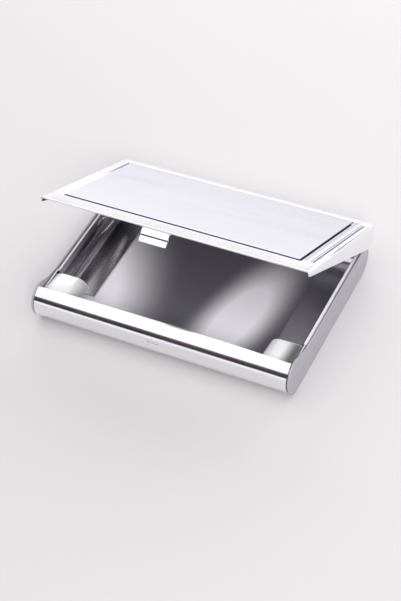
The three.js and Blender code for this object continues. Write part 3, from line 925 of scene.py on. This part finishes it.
# ---------- lid ----------
class CARDCASE_OT_lid_shell(bpy.types.Operator):
    """Lid: top sheet with a recess, end flanges and a short back wall"""

    bl_idname = "cardcase.lid_shell"
    bl_label = "Lid Shell"

    panel_gap = 0.25 * MM
    bevel = 0.45 * MM
    glue_line = 0.05 * MM
    rib_from_recess = 1.5 * MM
    rib_width = 0.9 * MM
    rib_rise = 0.22 * MM
    rib_slope = 0.2 * MM
    frame_rib_rise = 0.25 * MM
    line_from_rib = 0.12 * MM
    line_width = 0.26 * MM
    line_slope = 0.03 * MM
    groove_from_rib = 0.75 * MM
    groove_width = 0.7 * MM
    groove_depth = 0.42 * MM
    groove_slope = 0.08 * MM
    line_inset = 1.2 * MM
    flange_front = 1.8 * MM
    flange_corner = 5.2 * MM
    flange_nose = 0.5 * MM
    nose_steps = 4
    bend_steps = 6
    cut_edge_steps = 3
    fine_angle = 32
    tool_reach = 5 * MM

    def execute(self, context):
        own = sizes()
        low, high = closed_box("lid_shell")
        panel_low, panel_high = closed_box("lid_panel")
        top = high.z - self.frame_rib_rise
        film_low, _ = closed_box("panel_bond_sheet")
        depth = top - (film_low.z - self.glue_line)
        edge = self.bevel + self.panel_gap
        recess_low = panel_low - Vector((edge, edge, 0))
        recess_high = panel_high + Vector((edge, edge, 0))
        foot = low.z - MM
        piece = add_box("lid_shell_sheet", (low.x, low.y, foot), (high.x, high.y, top))
        edit(piece)
        pick(piece, "FACE", lambda co: near(co.z, foot))
        bpy.ops.mesh.delete(type="FACE")
        pick(piece, "FACE", lambda co: near(co.y, low.y))
        bpy.ops.mesh.delete(type="FACE")
        self.bend_edges(piece, high, top, own.lid_bend)
        self.mark_top(recess_low, recess_high)
        self.sink_recess(piece, recess_low, recess_high, top, depth)
        self.raise_rib(piece, recess_low, recess_high, top)
        face_away_from(piece, lambda face: Vector((0, 0, foot)))
        thicken(piece, own.sheet)
        combine(piece, self.side_outline(low, high, top), "INTERSECT")
        below_top = top - 1.2 * own.sheet
        round_sharp(piece, lambda co: near(co.y, low.y, own.sheet) or co.z < below_top,
                    own.lid_round, self.cut_edge_steps)
        round_edges(piece, own.edge_round / 2, angle=self.fine_angle)
        self.paint_line_shade_and_strip(piece, recess_low, recess_high, top)
        open_lid(piece)
        finishes = [polished_steel(), groove_painted_shade(), satin_plate()]
        settle(piece, finishes, "lid", "polished_steel", "lid_shell")
        return {"FINISHED"}

    def bend_edges(self, piece, high, top, radius):
        """Rounds the bends along the two sides, along the back and up the two back corners."""
        def at_bend(item):
            ends = [corner.co for corner in item.verts]
            along_side = all(near(co.z, top) and near(abs(co.x), high.x) for co in ends)
            along_back = all(near(co.z, top) and near(co.y, high.y) for co in ends)
            upright = all(near(co.y, high.y) and near(abs(co.x), high.x) for co in ends)
            same_side = ends[0].x * ends[1].x > 0
            return (along_side and same_side) or along_back or upright

        pick_edges(piece, at_bend)
        bpy.ops.mesh.bevel(offset=radius, segments=self.bend_steps, affect="EDGES")

    def lines(self, recess_high):
        """Start, width, rise and slope of the rib and of the two lines sunk beside it."""
        rib = recess_high.x + self.rib_from_recess
        after = rib + self.rib_width
        line, groove = after + self.line_from_rib, after + self.groove_from_rib
        return ((rib, self.rib_width, self.rib_rise, self.rib_slope),
                (line, self.line_width, -self.groove_depth / 2, self.line_slope),
                (groove, self.groove_width, -self.groove_depth, self.groove_slope))

    def paint_line_shade_and_strip(self, piece, recess_low, recess_high, top):
        """Gives the sunk lines their dark blue painted shade, and the strip beside the recess its satin.
        """
        middle_y = (recess_low.y + recess_high.y) / 2
        strip_reach = (recess_high.y - recess_low.y) / 2
        strip_end = recess_high.x + self.rib_from_recess
        finish_faces(piece, 2, lambda co: recess_high.x - CLOSE < co.x < strip_end + CLOSE
                     and near(co.z, top) and abs(co.y - middle_y) < strip_reach + CLOSE)
        for start, width, rise, _ in self.lines(recess_high):
            if rise < 0:
                finish_faces(piece, 1, lambda co: start - CLOSE < co.x < start + width + CLOSE
                             and top + rise - CLOSE < co.z < top - 3 * CLOSE
                             and abs(co.y - middle_y) < strip_reach)

    def mark_top(self, recess_low, recess_high):
        """Cuts the top sheet along the edges of the recess, the rib and the groove."""
        for x in (recess_low.x, recess_high.x):
            slice_at((x, 0, 0), (1, 0, 0))
        for start, width, _, _ in self.lines(recess_high):
            slice_at((start, 0, 0), (1, 0, 0))
            slice_at((start + width, 0, 0), (1, 0, 0))
        for y in (recess_low.y, recess_low.y + self.line_inset,
                  recess_high.y - self.line_inset, recess_high.y):
            slice_at((0, y, 0), (0, 1, 0))

    def sink_recess(self, piece, recess_low, recess_high, top, depth):
        pick(piece, "FACE", lambda co: near(co.z, top)
             and recess_low.x - CLOSE < co.x < recess_high.x + CLOSE
             and recess_low.y - CLOSE < co.y < recess_high.y + CLOSE)
        bpy.ops.mesh.inset(thickness=self.bevel)
        bpy.ops.transform.translate(value=(0, 0, -self.bevel))
        bpy.ops.mesh.extrude_region_move(TRANSFORM_OT_translate={"value": (0, 0, self.bevel - depth)})

    def raise_rib(self, piece, recess_low, recess_high, top):
        line_front = recess_low.y + self.line_inset - CLOSE
        line_back = recess_high.y - self.line_inset + CLOSE
        for start, width, rise, slope in self.lines(recess_high):
            pick(piece, "FACE", lambda co: near(co.z, top) and line_front < co.y < line_back
                 and start - CLOSE < co.x < start + width + CLOSE)
            bpy.ops.mesh.inset(thickness=slope)
            bpy.ops.transform.translate(value=(0, 0, rise))

    def side_outline(self, low, high, top):
        """A block with the flanges' outline: shallow in front, deep and rounded at the back."""
        reach = self.tool_reach
        keep = add_box("keep_tool", (low.x - reach, low.y, low.z),
                       (high.x + reach, high.y, top + reach))
        edit(keep)
        pick(keep, "VERT", lambda co: near(co.y, low.y) and near(co.z, low.z))
        bpy.ops.transform.translate(value=(0, 0, top - self.flange_front - low.z))
        pick(keep, "EDGE", lambda co: near(co.y, high.y) and near(co.z, low.z))
        bpy.ops.mesh.bevel(offset=self.flange_corner, segments=sizes().round_steps, affect="EDGES")
        pick(keep, "EDGE", lambda co: near(co.y, low.y) and near(co.z, top - self.flange_front))
        bpy.ops.mesh.bevel(offset=self.flange_nose, segments=self.nose_steps, affect="EDGES")
        bpy.ops.object.mode_set(mode="OBJECT")
        return keep


class CARDCASE_OT_lid_panel(bpy.types.Operator):
    """Inset panel of the lid, and the film that holds it"""

    bl_idname = "cardcase.lid_panel"
    bl_label = "Lid Panel"

    edge_gap = 0.2 * MM
    rise = 0.15 * MM
    face_inset = 0.3 * MM
    edge_width = 0.1 * MM

    def execute(self, context):
        low, high = closed_box("lid_panel")
        inset = Vector((self.edge_gap, self.edge_gap, 0))
        high = high - inset + Vector((0, 0, self.rise))
        piece = add_box("panel_plate", low + inset, high)
        edit(piece)
        pick(piece, "FACE", lambda co: near(co.z, high.z))
        bpy.ops.mesh.inset(thickness=self.face_inset)
        bpy.ops.object.mode_set(mode="OBJECT")
        round_edges(piece, self.edge_width)
        # The panel's sides and underside take the near-black painted shadow of the gap round the panel.
        finish_faces(piece, 1, lambda co: co.z < high.z - CLOSE)
        open_lid(piece)
        settle(piece, [satin_panel(), painted_shadow_line()], "lid", "satin_panel", "lid_panel")
        film = frame["nodes"]["panel_bond_sheet"]
        film.data.materials.clear()
        film.data.materials.append(bond_film())
        return {"FINISHED"}


class CARDCASE_OT_thumb_tab(bpy.types.Operator):
    """Spring tab that hangs from the lid's front edge"""

    bl_idname = "cardcase.thumb_tab"
    bl_label = "Thumb Tab"

    slope = math.radians(63.5)
    upper = 2.1 * MM
    channel = 0.45 * MM
    channel_width = 0.4 * MM
    lower = 2.05 * MM
    tab_sheet = 0.5 * MM
    before_lid = 0.2 * MM
    knee_round = 0.5 * MM
    knee_steps = 6
    tip_round = 0.5 * MM
    tip_steps = 5

    def execute(self, context):
        low, high = closed_box("thumb_tab")
        shell_low, _ = closed_box("lid_shell")
        knee_y = shell_low.y - self.before_lid
        piece = add_strip("thumb_tab_sheet", (low.x, knee_y, high.z), (high.x, high.y, high.z))
        edit(piece)
        down = Vector((0, -math.cos(self.slope), -math.sin(self.slope)))
        inward = Vector((0, math.sin(self.slope), -math.cos(self.slope)))
        point = Vector((0, knee_y, high.z))
        for move in (down * self.upper, inward * self.channel, down * self.channel_width,
                     inward * -self.channel, down * self.lower):
            y, z = point.y, point.z
            pull_edge(piece, lambda co: near(co.y, y) and near(co.z, z), move)
            point = point + move
        pick(piece, "EDGE", lambda co: near(co.y, knee_y) and near(co.z, high.z))
        bpy.ops.mesh.bevel(offset=self.knee_round, segments=self.knee_steps, affect="EDGES")
        tip_y, tip_z = point.y, point.z
        pick(piece, "VERT", lambda co: near(co.y, tip_y) and near(co.z, tip_z))
        bpy.ops.mesh.bevel(offset=self.tip_round, segments=self.tip_steps, affect="VERTICES")
        face_away_from(piece, lambda face: Vector((face.calc_center_median().x, high.y, low.z)))
        thicken(piece, self.tab_sheet)
        round_edges(piece, sizes().edge_round)
        # The channel's faces take the near-black painted shade of the channel.
        knee = Vector((0, knee_y, high.z))
        end = self.upper + self.channel_width
        finish_faces(piece, 1, lambda co: self.upper - 2 * CLOSE < (co - knee).dot(down)
                     < end + 2 * CLOSE)
        open_lid(piece)
        settle(piece, [spring_steel(), painted_shadow_line()], "lid", "spring_steel", "thumb_tab")
        return {"FINISHED"}


# ---------- stage ----------
class CARDCASE_OT_stage(bpy.types.Operator):
    """Pale floor, soft studio lights and the camera"""

    bl_idname = "cardcase.stage"
    bl_label = "Stage"

    azimuth = math.radians(33.5)
    elevation = math.radians(47.0)
    roll = math.radians(-9.25)
    distance = 0.5125
    target = Vector((3.59, -7.49, 5.0)) * MM
    lens = 92.96
    nearest = 0.01
    floor_side = 2.4
    floor_colour = (0.66, 0.65, 0.66, 1)
    dusk = (0.05, 0.04, 0.045, 1)
    white = (1.0, 1.0, 1.0)
    softboxes = (
        ("overhead", "X", (-0.8, -0.7, 0.6), (0.6, 0.4, 0.6), 1.25, white),
        ("fade", "X", (-0.8, -0.95, 0.6), (0.6, -0.72, 0.6), 0.12, (1.0, 0.75, 0.7)),
        ("front", "X", (-0.9, -1.0, 0.0), (0.7, -0.99, 0.24), 0.95, (0.95, 0.94, 1.0)),
        ("key", "X", (0.3, -0.6, 0.4), (0.55, -0.45, 0.6), 14.0, (1.0, 0.99, 0.97)),
        ("back", "X", (-1.1, 0.45, 0.03), (0.8, 0.5, 0.3), 2.6, white),
        ("rear", "X", (-0.8, 0.62, 0.6), (0.6, 1.1, 0.6), 2.0, white),
        ("right", "Y", (0.9, -0.5, 0.02), (0.7, 0.7, 0.5), 0.65, white),
    )

    def execute(self, context):
        self.add_floor()
        self.add_world()
        self.add_camera()
        for name, run, low, high, strength, colour in self.softboxes:
            self.add_softbox(name, run, Vector(low), Vector(high), strength, colour)
        context.scene.view_settings.view_transform = "Standard"
        return {"FINISHED"}

    def add_floor(self):
        deselect_all()
        bpy.ops.mesh.primitive_plane_add(size=self.floor_side, location=(0, 0, 0))
        floor = bpy.context.object
        floor.name = "floor"
        material = bpy.data.materials.new("pale_floor")
        material.use_nodes = True
        shader = material.node_tree.nodes["Principled BSDF"]
        shader.inputs["Base Color"].default_value = self.floor_colour
        shader.inputs["Roughness"].default_value = 0.6
        floor.data.materials.append(material)

    def add_world(self):
        world = bpy.data.worlds.new("studio")
        world.use_nodes = True
        world.node_tree.nodes["Background"].inputs["Color"].default_value = self.dusk
        bpy.context.scene.world = world

    def add_camera(self):
        data = bpy.data.cameras.new("camera")
        data.lens = self.lens
        camera = bpy.data.objects.new("camera", data)
        bpy.context.scene.collection.objects.link(camera)
        level = math.cos(self.elevation)
        back = Vector((math.sin(self.azimuth) * level, -math.cos(self.azimuth) * level,
                       math.sin(self.elevation)))
        right = Vector((math.cos(self.azimuth), math.sin(self.azimuth), 0))
        up = back.cross(right)
        tilted_right = right * math.cos(self.roll) + up * math.sin(self.roll)
        tilted_up = up * math.cos(self.roll) - right * math.sin(self.roll)
        turn = Matrix((tilted_right, tilted_up, back)).transposed().to_4x4()
        camera.matrix_world = Matrix.Translation(self.target + back * self.distance) @ turn
        data.clip_start = self.nearest
        bpy.context.scene.camera = camera

    def add_softbox(self, name, run, low, high, strength, colour):
        """A glowing sheet that runs along X or Y from its low edge to its high one, facing the case."""
        along = Vector((1, 0, 0)) if run == "X" else Vector((0, 1, 0))
        middle = (low + high) / 2
        width = abs((high - low).dot(along))
        rise = (high - low) - along * (high - low).dot(along)
        data = bpy.data.lights.new(name, "AREA")
        data.shape = "RECTANGLE"
        data.size, data.size_y = width, rise.length
        data.energy = strength * math.pi * width * rise.length
        data.color = colour
        light = bpy.data.objects.new(name, data)
        facing = along.cross(rise).normalized()
        if facing.dot(-middle) < 0:
            facing = -facing
        side = rise.normalized()
        turn = Matrix((side.cross(-facing), side, -facing)).transposed().to_4x4()
        light.matrix_world = Matrix.Translation(middle) @ turn
        bpy.context.scene.collection.objects.link(light)


class CARDCASE_PT_panel(bpy.types.Panel):
    """Lists the pieces and their sizes in the sidebar"""

    bl_idname = "CARDCASE_PT_panel"
    bl_label = "Card Case"
    bl_space_type = "VIEW_3D"
    bl_region_type = "UI"
    bl_category = "Card Case"

    def draw(self, context):
        column = self.layout.column()
        for operator in OPERATORS:
            column.operator(operator.bl_idname)
        for group in (context.scene.card_case_sizes, context.scene.card_case_colours):
            for name in group.__annotations__:
                column.prop(group, name)


OPERATORS = (
    CARDCASE_OT_stage,
    CARDCASE_OT_rolled_body,
    CARDCASE_OT_end_plates,
    CARDCASE_OT_floor_liner,
    CARDCASE_OT_side_liners,
    CARDCASE_OT_corner_clips,
    CARDCASE_OT_hinge,
    CARDCASE_OT_lid_shell,
    CARDCASE_OT_lid_panel,
    CARDCASE_OT_thumb_tab,
)
CLASSES = (CardCaseSizes, CardCaseColours, *OPERATORS, CARDCASE_PT_panel)


def register():
    for cls in CLASSES:
        bpy.utils.register_class(cls)
    bpy.types.Scene.card_case_sizes = PointerProperty(type=CardCaseSizes)
    bpy.types.Scene.card_case_colours = PointerProperty(type=CardCaseColours)


def unregister():
    del bpy.types.Scene.card_case_colours
    del bpy.types.Scene.card_case_sizes
    for cls in reversed(CLASSES):
        bpy.utils.unregister_class(cls)


def main():
    register()
    for operator in OPERATORS:
        group, name = operator.bl_idname.split(".")
        getattr(getattr(bpy.ops, group), name)()


if __name__ == "__main__":
    main()
